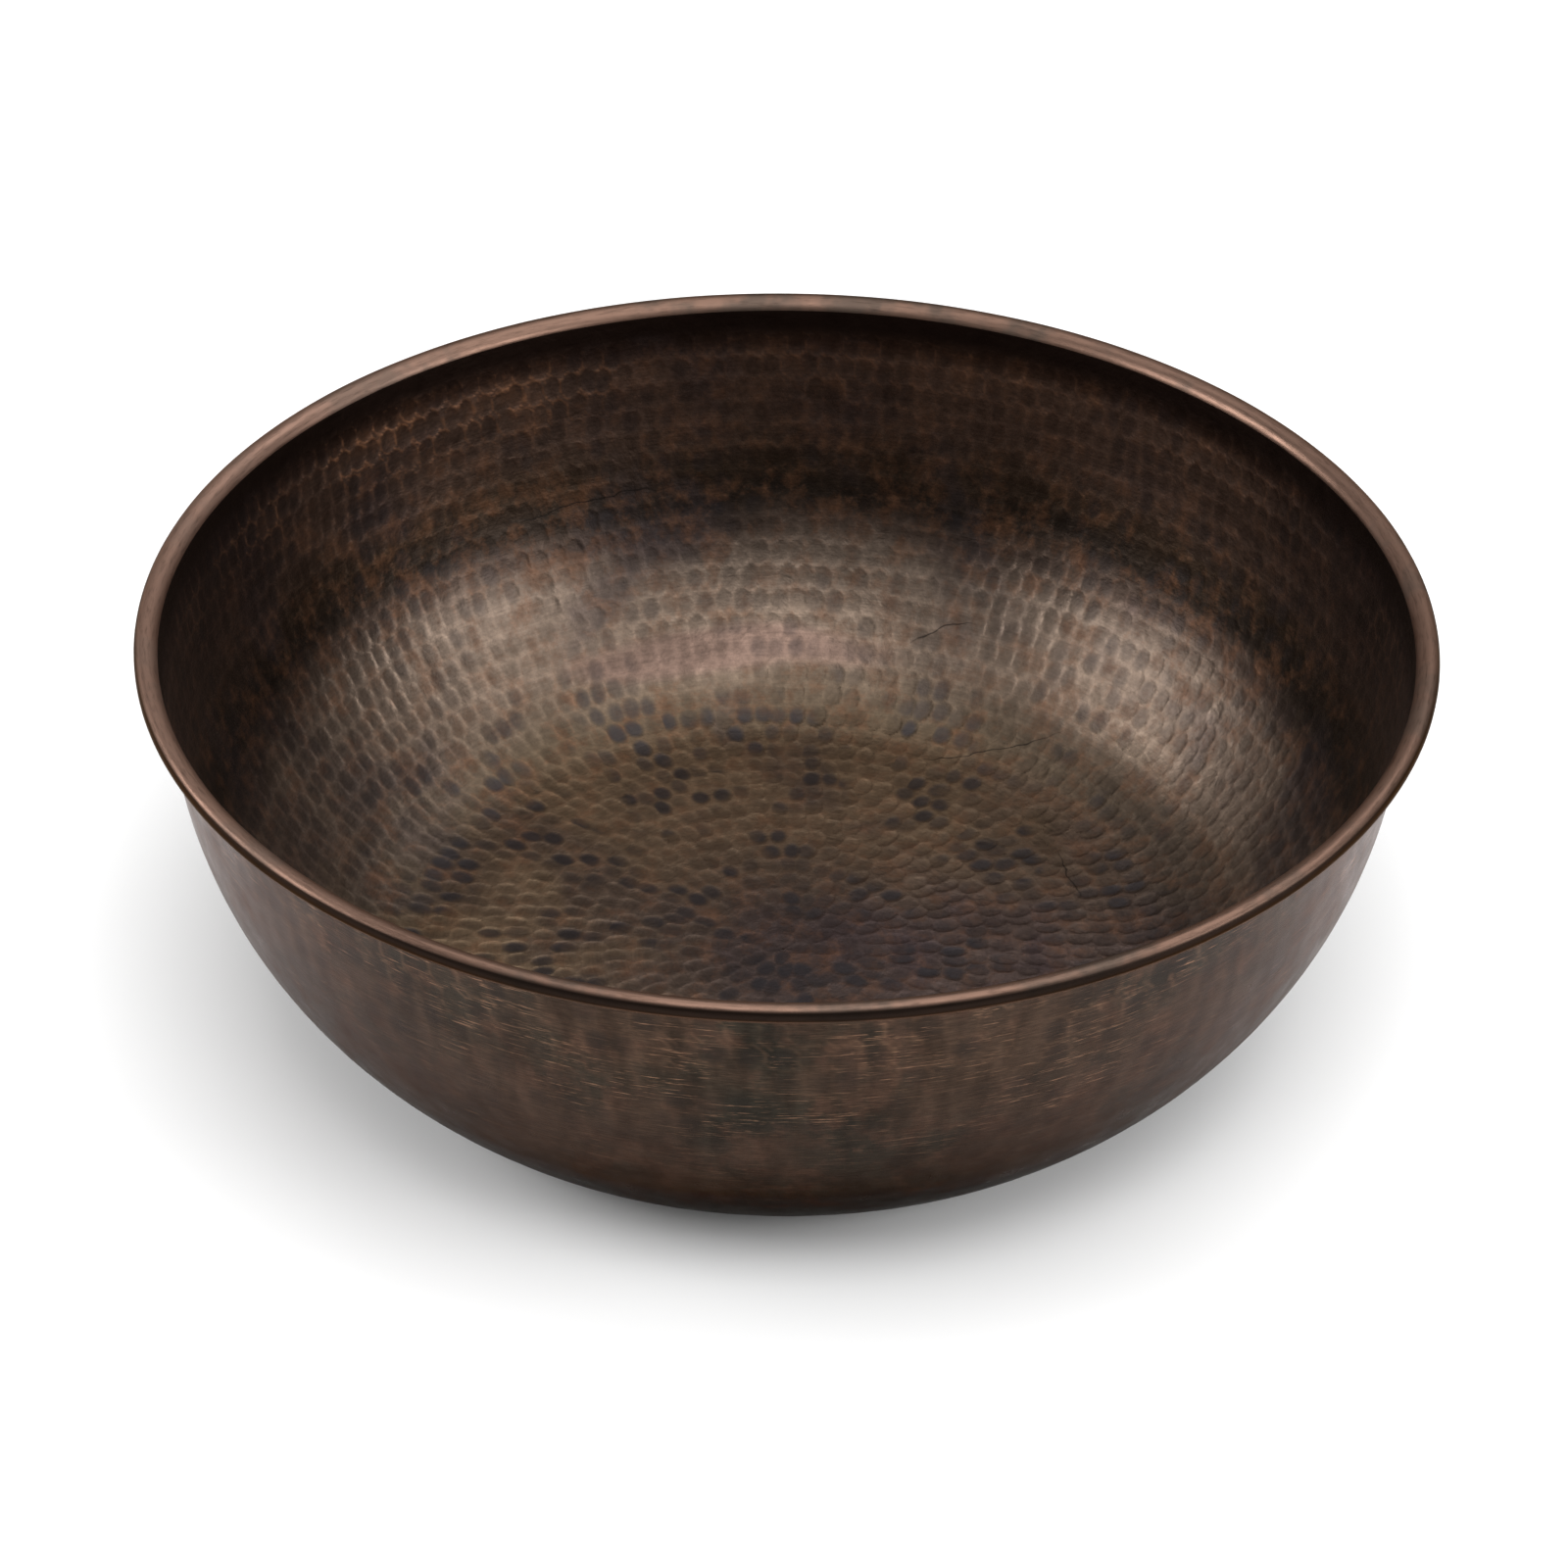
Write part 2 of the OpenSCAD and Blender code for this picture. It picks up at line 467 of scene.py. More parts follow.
# What every copper finish starts from: places on the bowl, the numbers kept at the points, the angle round the
# axis, the place squeezed so that a noise made from it runs in lines round the bowl, and its noise patterns.
def surfaceSockets(tree, patterns):
    sockets = {"coords": addNode(tree, "TexCoord").outputs["Object"]}
    for name in ("cup", "tone", "outline", "burnish", "along"):
        sockets[name] = addNode(tree, "Attribute", attribute_name=name).outputs["Fac"]
    split = addNode(tree, "SeparateXYZ", {0: sockets["coords"]})
    slowX = addNode(tree, "Math", {0: split.outputs[0], 1: 0.1}, operation="MULTIPLY").outputs[0]
    slowY = addNode(tree, "Math", {0: split.outputs[1], 1: 0.1}, operation="MULTIPLY").outputs[0]
    sockets["round"] = addNode(tree, "CombineXYZ", {0: slowX, 1: slowY, 2: sockets["along"]}).outputs[0]
    sockets["angle"] = addNode(tree, "Math", {0: split.outputs[1], 1: split.outputs[0]},
                               operation="ARCTAN2").outputs[0]
    for name, (place, size, detail, roughness, distortion) in patterns.items():
        sockets[name] = addNode(tree, "TexNoise", {
            "Vector": sockets[place], "Scale": perMetre(size), "Detail": detail, "Roughness": roughness,
            "Distortion": distortion}).outputs[0]
    return sockets


# The inside: a dark oxide over the copper, waxed. It is olive on the floor and brown up the wall with purple
# clouds, and painted black as shade under the rim. Some marks keep a blue-grey oxide in their middles, and the
# outlines of the marks in the top rows are rubbed through to copper, so the light catches them.
insideLook = {
    "rings": (  # distance along in mm, and the colour there
        (20, "#453a35"), (70, "#655444"), (115, "#6f5d4a"), (133, "#584838"), (148, "#4e4235"), (162, "#5a4d41"),
        (180, "#6d5e52"), (212, "#61544a"), (226, "#433730"), (238, "#241d18"), (252, "#34281f"),
        # from 303 mm the stops darken to black: painted shade under the rim
        (272, "#524138"), (296, "#58453b"), (303, "#3f2e26"), (311, "#1a120f"), (318, "#120c0a"),
    ),
    "drift": 40.0,  # mm by which clouds shift those rings
    "patterns": {  # the place each reads, its size in mm, detail, roughness and distortion
        "clouds": ("coords", 80.0, 4.0, 0.6, 0.3),
        "mottle": ("coords", 12.0, 5.0, 0.7, 0.0),
        "groups": ("coords", 38.0, 2.0, 0.5, 0.0),  # groups of marks with the blue-grey oxide
        "bands": ("coords", 48.0, 3.0, 0.5, 0.0),  # stretches of worn outlines
        "lines": ("round", 1.1, 4.0, 0.6, 0.0),  # of the finishing wheel, drawn as coarse as they need to show
        "speckle": ("coords", 2.2, 3.0, 0.6, 0.0),
        "worked": ("coords", 6.0, 3.0, 0.55, 0.4),  # the metal's own unevenness between the marks
        "grain": ("coords", 1.0, 3.0, 0.5, 0.0),
    },
    "red": "#63432f",
    "purple": "#3a3233",
    # purple oxide over the near half of the floor, darkened as painted shade
    "nearFloorOxideAndShade": "#423739",
    # painted shade under the rim
    "paintedShadeUnderRim": "#1f1511",
    # painted shade on the walls at the two sides
    "sideWallShade": "#271e1e",
    "pit": "#323033",
    "copper": "#94694d",
    "burnished": "#625047",
    "roughness": 0.44,
    "wornAngle": 2.3,  # radians, the middle of the place where most outlines are worn
    "wax": 0.06,
    "crack": "#14100e",
    # each crack's angle in degrees, distance along in m, half its length in degrees and slant in m over a radian
    "cracks": (
        (112.5, 0.2430, 12.0, 0.007),
        (58.0, 0.1520, 10.5, -0.110),
        (70.0, 0.1900, 4.5, -0.070),
        (24.0, 0.1180, 9.0, 0.030),
    ),
}


def oxidisedCopper():
    look = insideLook
    material, tree = newMaterial("Oxidised copper, raised with a hammer")
    at = surfaceSockets(tree, look["patterns"])
    # rings of oxide from purple brown at the middle up the wall, then painted shade to black under the rim, all
    # shifted by clouds
    ringEnd = look["rings"][-1][0]
    shift = addNode(tree, "Math", {0: at["clouds"], 1: 0.5}, operation="SUBTRACT").outputs[0]
    calm = addNode(tree, "MapRange", {0: at["along"], 1: 0.25, 2: 0.295, 3: look["drift"] / ringEnd,
                                      4: look["drift"] / ringEnd / 8}).outputs[0]
    place = addNode(tree, "Math", {0: at["along"], 1: 1 / (ringEnd * mm)}, operation="MULTIPLY").outputs[0]
    place = addNode(tree, "Math", {0: shift, 1: calm, 2: place}, operation="MULTIPLY_ADD").outputs[0]
    rings = addNode(tree, "ValToRGB", {0: place})
    stops = rings.color_ramp.elements
    for along, hexColour in look["rings"][1:-1]:
        stops.new(along / ringEnd).color = linearColour(hexColour)
    stops[0].color, stops[-1].color = linearColour(look["rings"][0][1]), linearColour(look["rings"][-1][1])
    stops[0].position = look["rings"][0][0] / ringEnd
    cloudShare = addNode(tree, "MapRange", {0: at["clouds"], 1: 0.49, 2: 0.63, 4: 0.5},
                         interpolation_type="SMOOTHSTEP")
    colour = addNode(tree, "Mix", {0: cloudShare.outputs[0], 6: rings.outputs[0],
                                   7: linearColour(look["purple"])}, data_type="RGBA").outputs[2]
    # the purple oxide also lies over the near half of the floor, darkened there as painted shade as well
    spot = addNode(tree, "SeparateXYZ", {0: at["coords"]}).outputs
    side = addNode(tree, "Math", {0: spot[0], 1: -0.7, 2: spot[1]}, operation="MULTIPLY_ADD").outputs[0]
    side = addNode(tree, "Math", {0: shift, 1: 0.35, 2: side}, operation="MULTIPLY_ADD").outputs[0]
    side = addNode(tree, "MapRange", {0: side, 1: 0.035, 2: -0.085, 4: 0.9}).outputs[0]
    low = addNode(tree, "MapRange", {0: at["along"], 1: 0.175, 2: 0.11}).outputs[0]
    side = addNode(tree, "Math", {0: side, 1: low}, operation="MULTIPLY").outputs[0]
    colour = addNode(tree, "Mix", {0: side, 6: colour, 7: linearColour(look["nearFloorOxideAndShade"])},
                     data_type="RGBA").outputs[2]
    redShare = addNode(tree, "MapRange", {0: at["mottle"], 1: 0.48, 2: 0.68, 4: 0.5}).outputs[0]
    # the share of painted shade under the rim, which also takes the red out there
    shadeUnderRimShare = addNode(tree, "MapRange", {0: at["along"], 1: 0.302, 2: 0.312},
                         interpolation_type="SMOOTHSTEP").outputs[0]
    redShare = addNode(tree, "Math", {0: shadeUnderRimShare, 1: -0.5, 2: redShare}, operation="MULTIPLY_ADD",
                       use_clamp=True).outputs[0]
    colour = addNode(tree, "Mix", {0: redShare, 6: colour, 7: linearColour(look["red"])},
                     data_type="RGBA").outputs[2]
    # painted shade: the walls at the two sides are darkened
    sideWallShade = addNode(tree, "Math", {0: spot[0]}, operation="ABSOLUTE").outputs[0]
    sideWallShade = addNode(tree, "MapRange", {0: sideWallShade, 1: 0.170, 2: 0.210, 4: 0.65}).outputs[0]
    tall = addNode(tree, "MapRange", {0: at["along"], 1: 0.245, 2: 0.280}).outputs[0]
    sideWallShade = addNode(tree, "Math", {0: sideWallShade, 1: tall}, operation="MULTIPLY").outputs[0]
    colour = addNode(tree, "Mix", {0: sideWallShade, 6: colour, 7: linearColour(look["sideWallShade"])},
                     data_type="RGBA").outputs[2]
    colour = addNode(tree, "Mix", {0: at["burnish"], 6: colour, 7: linearColour(look["burnished"])},
                     data_type="RGBA").outputs[2]
    # each mark has its own tone, and fine lines of the finishing wheel run over them
    lineTone = addNode(tree, "MapRange", {0: at["lines"], 1: 0.3, 2: 0.7, 3: 0.88, 4: 1.12}).outputs[0]
    markTone = addNode(tree, "MapRange", {0: at["tone"], 1: -1.0, 2: 1.0, 3: 1.14, 4: 0.88}).outputs[0]
    cupTone = addNode(tree, "MapRange", {0: at["cup"], 1: 0.0, 2: 0.8, 3: 1.14, 4: 0.86}).outputs[0]
    markTone = addNode(tree, "Math", {0: markTone, 1: cupTone}, operation="MULTIPLY").outputs[0]
    speckTone = addNode(tree, "MapRange", {0: at["speckle"], 1: 0.3, 2: 0.7, 3: 0.84, 4: 1.16}).outputs[0]
    value = addNode(tree, "Math", {0: lineTone, 1: markTone}, operation="MULTIPLY").outputs[0]
    value = addNode(tree, "Math", {0: value, 1: speckTone}, operation="MULTIPLY").outputs[0]
    colour = addNode(tree, "HueSaturation", {"Value": value, "Color": colour}).outputs[0]
    # blue-grey oxide left in the middles of some marks, in groups
    groupShare = addNode(tree, "MapRange", {0: at["groups"], 1: 0.45, 2: 0.55}).outputs[0]
    pitMost = addNode(tree, "MapRange", {0: at["along"], 1: 0.145, 2: 0.185, 3: 0.78, 4: 0.22}).outputs[0]
    pitMark = addNode(tree, "MapRange", {0: at["tone"], 1: -0.5, 2: 0.6, 4: pitMost}).outputs[0]
    pitDeep = addNode(tree, "MapRange", {0: at["cup"], 1: 0.05, 2: 0.7}).outputs[0]
    pitShare = addNode(tree, "Math", {0: pitMark, 1: pitDeep}, operation="MULTIPLY").outputs[0]
    pitShare = addNode(tree, "Math", {0: pitShare, 1: groupShare}, operation="MULTIPLY").outputs[0]
    colour = addNode(tree, "Mix", {0: pitShare, 6: colour, 7: linearColour(look["pit"])},
                     data_type="RGBA").outputs[2]
    # copper showing along the outlines of the marks in the top rows
    high = addNode(tree, "MapRange", {0: at["along"], 1: 0.270, 2: 0.290, 3: 0.06, 4: 0.8}).outputs[0]
    most = addNode(tree, "Math", {0: at["angle"], 1: look["wornAngle"]}, operation="SUBTRACT").outputs[0]
    most = addNode(tree, "Math", {0: most}, operation="ABSOLUTE").outputs[0]
    most = addNode(tree, "MapRange", {0: most, 1: 0.5, 2: 0.25, 3: 0.3, 4: 0.9}).outputs[0]
    rubbed = addNode(tree, "MapRange", {0: at["bands"], 1: 0.42, 2: 0.62, 4: most}).outputs[0]
    rubbed = addNode(tree, "Math", {0: rubbed, 1: high}, operation="MULTIPLY").outputs[0]
    thin = addNode(tree, "MapRange", {0: at["outline"], 1: 0.3, 2: 1.0}).outputs[0]
    copperShare = addNode(tree, "Math", {0: thin, 1: rubbed}, operation="MULTIPLY").outputs[0]
    colour = addNode(tree, "Mix", {0: copperShare, 6: colour, 7: linearColour(look["copper"])},
                     data_type="RGBA").outputs[2]
    # painted shade: everything right under the rim is mixed to black
    colour = addNode(tree, "Mix", {0: shadeUnderRimShare, 6: colour, 7: linearColour(look["paintedShadeUnderRim"])},
                     data_type="RGBA").outputs[2]
    # hairline cracks: a thin dark line at a distance along that drifts with the angle and wanders a little
    wander = addNode(tree, "MapRange", {0: at["clouds"], 1: 0.3, 2: 0.7, 3: -0.008, 4: 0.008}).outputs[0]
    crackShare = None
    for middle, along, half, slant in look["cracks"]:
        turned = addNode(tree, "Math", {0: at["angle"], 1: math.radians(middle)}, operation="SUBTRACT").outputs[0]
        line = addNode(tree, "Math", {0: turned, 1: slant, 2: along}, operation="MULTIPLY_ADD").outputs[0]
        line = addNode(tree, "Math", {0: line, 1: wander}, operation="ADD").outputs[0]
        line = addNode(tree, "Math", {0: line, 1: at["along"]}, operation="SUBTRACT").outputs[0]
        line = addNode(tree, "Math", {0: line}, operation="ABSOLUTE").outputs[0]
        thin = addNode(tree, "MapRange", {0: line, 1: 0.00055, 2: 0.0001, 4: 0.75}).outputs[0]
        turned = addNode(tree, "Math", {0: turned}, operation="ABSOLUTE").outputs[0]
        ends = addNode(tree, "MapRange", {0: turned, 1: math.radians(half), 2: math.radians(half / 2)}).outputs[0]
        crack = addNode(tree, "Math", {0: thin, 1: ends}, operation="MULTIPLY").outputs[0]
        crackShare = crack if crackShare is None else addNode(
            tree, "Math", {0: crackShare, 1: crack}, operation="MAXIMUM").outputs[0]
    colour = addNode(tree, "Mix", {0: crackShare, 6: colour, 7: linearColour(look["crack"])},
                     data_type="RGBA").outputs[2]
    rough = addNode(tree, "MapRange", {0: at["mottle"], 1: 0.3, 2: 0.7, 3: look["roughness"] - 0.06,
                                       4: look["roughness"] + 0.08}).outputs[0]
    rough = addNode(tree, "Math", {0: at["burnish"], 1: -0.05, 2: rough}, operation="MULTIPLY_ADD").outputs[0]
    rough = addNode(tree, "Math", {0: shadeUnderRimShare, 1: 0.05, 2: rough}, operation="MULTIPLY_ADD").outputs[0]
    bump = addNode(tree, "Bump", {"Strength": 0.35, "Distance": 0.0007, "Height": at["worked"]}).outputs[0]
    bump = addNode(tree, "Bump", {"Strength": 0.2, "Distance": 0.0002, "Height": at["lines"],
                                  "Normal": bump}).outputs[0]
    bump = addNode(tree, "Bump", {"Strength": 0.2, "Distance": 0.0002, "Height": at["grain"],
                                  "Normal": bump}).outputs[0]
    shader = addNode(tree, "BsdfPrincipled", {
        "Base Color": colour, "Metallic": 1.0, "Roughness": rough, "Normal": bump, "Coat Weight": look["wax"],
        "Coat Roughness": 0.35, "Coat Normal": bump})
    addNode(tree, "OutputMaterial", {0: shader.outputs[0]})
    return material


# The outside: the same oxide, planished nearly smooth and brushed round, so it is a quiet dark brown with faint
# darker spots and copper hairlines where the brush bit under the rim; painted shade darkens it and its sheen low
# down.
outsideLook = {
    "brown": "#3c2f26",
    "green": "#292620",
    "red": "#46342a",
    "spot": "#211e1c",
    "copper": "#a07a61",
    "scuffed": "#453a32",
    "edge": "#f6ecea",
    # the darker edge sheen low down, painted shade
    "lowShadedEdge": "#9c9794",
    "roughness": 0.31,
    "streaks": 9.0,  # mm across
    "hairs": 0.7,
    "patterns": {
        "clouds": ("coords", 60.0, 3.0, 0.6, 0.0),
        "mottle": ("coords", 16.0, 4.0, 0.65, 0.0),
        "lines": ("round", 0.6, 5.0, 0.7, 0.0),  # of the brush
        "groups": ("coords", 30.0, 3.0, 0.5, 0.0),  # groups of hairlines
    },
}


def planishedCopper():
    look = outsideLook
    material, tree = newMaterial("Oxidised copper, planished and brushed")
    at = surfaceSockets(tree, look["patterns"])
    cloudShare = addNode(tree, "MapRange", {0: at["clouds"], 1: 0.40, 2: 0.60}, interpolation_type="SMOOTHSTEP")
    colour = addNode(tree, "Mix", {0: cloudShare.outputs[0], 6: linearColour(look["brown"]),
                                   7: linearColour(look["green"])}, data_type="RGBA").outputs[2]
    redShare = addNode(tree, "MapRange", {0: at["mottle"], 1: 0.46, 2: 0.66, 4: 0.8},
                       interpolation_type="SMOOTHSTEP")
    colour = addNode(tree, "Mix", {0: redShare.outputs[0], 6: colour, 7: linearColour(look["red"])},
                     data_type="RGBA").outputs[2]
    # brush lines, painted shade low down, and spots at the middles of some marks
    lineTone = addNode(tree, "MapRange", {0: at["lines"], 1: 0.3, 2: 0.7, 3: 0.62, 4: 1.38}).outputs[0]
    streaks = addNode(tree, "Mapping", {"Vector": at["coords"], "Scale": (1, 1, 0.3)}).outputs[0]
    streaks = addNode(tree, "TexNoise", {"Vector": streaks, "Scale": perMetre(look["streaks"]),
                                          "Detail": 3.0}).outputs[0]
    streakTone = addNode(tree, "MapRange", {0: streaks, 1: 0.35, 2: 0.65, 3: 0.70, 4: 1.20}).outputs[0]
    lineTone = addNode(tree, "Math", {0: lineTone, 1: streakTone}, operation="MULTIPLY").outputs[0]
    # painted shade: darker towards the bottom
    lowShadeTone = addNode(tree, "MapRange", {0: at["along"], 1: 0.17, 2: 0.26, 3: 0.55, 4: 1.0}).outputs[0]
    lineTone = addNode(tree, "Math", {0: lineTone, 1: lowShadeTone}, operation="MULTIPLY").outputs[0]
    colour = addNode(tree, "HueSaturation", {"Value": lineTone, "Color": colour}).outputs[0]
    spotMark = addNode(tree, "MapRange", {0: at["tone"], 1: -0.6, 2: 0.8, 4: 0.6}).outputs[0]
    spotDeep = addNode(tree, "MapRange", {0: at["cup"], 1: 0.0, 2: 0.8}).outputs[0]
    spotShare = addNode(tree, "Math", {0: spotMark, 1: spotDeep}, operation="MULTIPLY").outputs[0]
    upper = addNode(tree, "MapRange", {0: at["along"], 1: 0.22, 2: 0.29, 3: 0.1, 4: 1.0}).outputs[0]
    spotShare = addNode(tree, "Math", {0: spotShare, 1: upper}, operation="MULTIPLY").outputs[0]
    colour = addNode(tree, "Mix", {0: spotShare, 6: colour, 7: linearColour(look["spot"])},
                     data_type="RGBA").outputs[2]
    # copper hairlines, most of them between the marks of the top rows
    hairCoords = addNode(tree, "Mapping", {"Vector": at["round"], "Scale": (0.5, 0.5, 1)}).outputs[0]
    hairs = addNode(tree, "TexNoise", {"Vector": hairCoords, "Scale": perMetre(look["hairs"]), "Detail": 3.0,
                                       "Roughness": 0.75}).outputs[0]
    bitten = addNode(tree, "MapRange", {0: hairs, 1: 0.58, 2: 0.70}).outputs[0]
    zone = addNode(tree, "MapRange", {0: at["along"], 1: 0.20, 2: 0.295, 3: 0.12, 4: 0.8}).outputs[0]
    groupShare = addNode(tree, "MapRange", {0: at["groups"], 1: 0.42, 2: 0.62, 3: 0.15}).outputs[0]
    outline = addNode(tree, "MapRange", {0: at["outline"], 1: 0.2, 2: 1.0, 4: 0.2}).outputs[0]
    top = addNode(tree, "MapRange", {0: at["along"], 1: 0.275, 2: 0.295}).outputs[0]
    outline = addNode(tree, "Math", {0: outline, 1: top}, operation="MULTIPLY").outputs[0]
    share = addNode(tree, "Math", {0: bitten, 1: outline}, operation="ADD", use_clamp=True).outputs[0]
    share = addNode(tree, "Math", {0: share, 1: zone}, operation="MULTIPLY").outputs[0]
    share = addNode(tree, "Math", {0: share, 1: groupShare}, operation="MULTIPLY").outputs[0]
    colour = addNode(tree, "Mix", {0: share, 6: colour, 7: linearColour(look["copper"])},
                     data_type="RGBA").outputs[2]
    # the resting face is scuffed paler by tables
    scuffs = addNode(tree, "MapRange", {0: at["along"], 1: 0.134, 2: 0.122, 4: 0.7}).outputs[0]
    scuffs = addNode(tree, "Math", {0: scuffs, 1: at["mottle"]}, operation="MULTIPLY").outputs[0]
    colour = addNode(tree, "Mix", {0: scuffs, 6: colour, 7: linearColour(look["scuffed"])},
                     data_type="RGBA").outputs[2]
    rough = addNode(tree, "MapRange", {0: at["mottle"], 1: 0.3, 2: 0.7, 3: look["roughness"] - 0.05,
                                       4: look["roughness"] + 0.08}).outputs[0]
    bump = addNode(tree, "Bump", {"Strength": 0.25, "Distance": 0.0002, "Height": at["lines"]}).outputs[0]
    # painted shade in the sheen: its edge sheen is darker low down
    aboveLowShade = addNode(tree, "MapRange", {0: at["along"], 1: 0.19, 2: 0.28}).outputs[0]
    sheen = addNode(tree, "Mix", {0: aboveLowShade, 6: linearColour(look["lowShadedEdge"]), 7: linearColour(look["edge"])},
                    data_type="RGBA").outputs[2]
    shader = addNode(tree, "BsdfPrincipled", {"Base Color": colour, "Metallic": 1.0, "Roughness": rough,
                                              "Normal": bump, "Specular Tint": sheen})
    addNode(tree, "OutputMaterial", {0: shader.outputs[0]})
    return material


# The rim: rubbed back to a dull pinkish copper by hands and cloths, so it is the lightest part, with grey and
# dark patches left. A painted highlight lightens its two sides, and painted shade darkens its underside.
rimLook = {
    "copper": "#71594d",
    # the colour of the painted highlight at the rim's two sides
    "sideHighlight": "#ae8d7d",
    "grey": "#50463f",
    # streaks of oxide, and the painted shade of the underside
    "darkOxideAndShade": "#1a1411",
    "edge": "#c6bab2",
    "roughness": 0.40,
    "patterns": {"patches": ("coords", 45.0, 4.0, 0.65, 0.0), "lines": ("round", 0.9, 4.0, 0.65, 0.0)},
}


def rubbedCopper():
    look = rimLook
    material, tree = newMaterial("Rubbed copper rim")
    at = surfaceSockets(tree, look["patterns"])
    greyShare = addNode(tree, "MapRange", {0: at["patches"], 1: 0.50, 2: 0.64, 4: 0.8},
                        interpolation_type="SMOOTHSTEP")
    colour = addNode(tree, "Mix", {0: greyShare.outputs[0], 6: linearColour(look["copper"]),
                                   7: linearColour(look["grey"])}, data_type="RGBA").outputs[2]
    # painted highlight: it is lightest at the two sides, more at the left than at the right
    spot = addNode(tree, "SeparateXYZ", {0: at["coords"]}).outputs[0]
    leftSideHighlight = addNode(tree, "MapRange", {0: spot, 1: -0.12, 2: -0.21, 4: 0.42}).outputs[0]
    sideHighlight = addNode(tree, "MapRange", {0: spot, 1: 0.12, 2: 0.20, 4: 0.15}).outputs[0]
    sideHighlight = addNode(tree, "Math", {0: sideHighlight, 1: leftSideHighlight}, operation="ADD").outputs[0]
    colour = addNode(tree, "Mix", {0: sideHighlight, 6: colour, 7: linearColour(look["sideHighlight"])},
                     data_type="RGBA").outputs[2]
    # streaks of oxide along the roll, and painted shade on the underside above the tucked lip
    lineShare = addNode(tree, "MapRange", {0: at["lines"], 1: 0.50, 2: 0.70, 4: 0.4}).outputs[0]
    colour = addNode(tree, "Mix", {0: lineShare, 6: colour, 7: linearColour(look["darkOxideAndShade"])},
                     data_type="RGBA").outputs[2]
    # painted shade on the rim's underside, stopping short of the tucked lip
    under = addNode(tree, "MapRange", {0: at["along"], 1: (flareStart + 8.8) * mm, 2: (flareStart + 10.4) * mm,
                                       4: 0.95}).outputs[0]
    lip = addNode(tree, "MapRange", {0: at["along"], 1: (flareStart + 14.2) * mm, 2: (flareStart + 13.2) * mm,
                                     3: 0.1}).outputs[0]
    under = addNode(tree, "Math", {0: under, 1: lip}, operation="MULTIPLY").outputs[0]
    colour = addNode(tree, "Mix", {0: under, 6: colour, 7: linearColour(look["darkOxideAndShade"])},
                     data_type="RGBA").outputs[2]
    rough = addNode(tree, "MapRange", {0: at["patches"], 1: 0.3, 2: 0.7, 3: look["roughness"] - 0.06,
                                       4: look["roughness"] + 0.1}).outputs[0]
    bump = addNode(tree, "Bump", {"Strength": 0.25, "Distance": 0.0002, "Height": at["lines"]}).outputs[0]
    shader = addNode(tree, "BsdfPrincipled", {"Base Color": colour, "Metallic": 1.0, "Roughness": rough,
                                              "Normal": bump, "Specular Tint": linearColour(look["edge"])})
    addNode(tree, "OutputMaterial", {0: shader.outputs[0]})
    return material


# The wire in the roll: drawn iron, dull grey with a fine grain and a little rust.
wireLook = {"iron": "#6e6a65", "rust": "#5b4031", "patches": 9.0, "grain": 0.8}  # sizes in mm


def ironWire():
    look = wireLook
    material, tree = newMaterial("Drawn iron wire")
    coords = addNode(tree, "TexCoord").outputs["Object"]
    rust = addNode(tree, "TexNoise", {"Vector": coords, "Scale": perMetre(look["patches"]),
                                       "Detail": 4.0}).outputs[0]
    grain = addNode(tree, "TexNoise", {"Vector": coords, "Scale": perMetre(look["grain"]),
                                        "Detail": 3.0}).outputs[0]
    rustShare = addNode(tree, "MapRange", {0: rust, 1: 0.5, 2: 0.7}).outputs[0]
    colour = addNode(tree, "Mix", {0: rustShare, 6: linearColour(look["iron"]), 7: linearColour(look["rust"])},
                     data_type="RGBA").outputs[2]
    rough = addNode(tree, "MapRange", {0: rust, 1: 0.3, 2: 0.7, 3: 0.4, 4: 0.6}).outputs[0]
    bump = addNode(tree, "Bump", {"Strength": 0.3, "Distance": 0.0002, "Height": grain}).outputs[0]
    shader = addNode(tree, "BsdfPrincipled", {"Base Color": colour, "Metallic": 1.0, "Roughness": rough,
                                              "Normal": bump})
    addNode(tree, "OutputMaterial", {0: shader.outputs[0]})
    return material


print("finishes described")

# Cells of the skins, in mm along the section. A coarse back point serves this many front ones.
grid = {
    "insideRings": 140,
    "insideStep": 0.8,
    "wallSkins": ("insideBend", "insideWall", "insideBand"),
    "wallStep": 0.86,
    "insideCoarser": 7,
    "outsideRings": 96,
    "outsideStep": 1.25,
    "outsideWallStep": 1.68,
    "outsideCoarser": 4,
    "rimColumns": 960,
    "rimOver": 44,  # points of the rim's section on the face that is seen, and on the one that holds the wire
    "rimUnder": 26,
}


# A floor disc and, after it, rings up the wall to where the rim begins, split into skins of equal length.
def makeFace(floorName, wallNames, rings, step, wallStep, coarser, inset, relief, material):
    angle, along, quads, loop = discGrid(rings, step)
    backAngle, backAlong, backQuads, backLoop = discGrid(rings // coarser, step * coarser)
    makeSkin(floorName, (angle, along, quads), (backAngle, backAlong, backQuads),
             [(loop, backLoop, True)], inset, relief, material)
    edges = np.linspace(rings * step, flareStart, len(wallNames) + 1)
    for name, start, end in zip(wallNames, edges[:-1], edges[1:]):
        rows = round((end - start) / wallStep)
        angle, along, quads, first, last = ringGrid(8 * rings, start, end, rows)
        backAngle, backAlong, backQuads, backFirst, backLast = ringGrid(
            8 * rings // coarser, start, end, rows // coarser)
        makeSkin(name, (angle, along, quads), (backAngle, backAlong, backQuads),
                 [(first, backFirst, False), (last, backLast, True)], inset, relief, material)


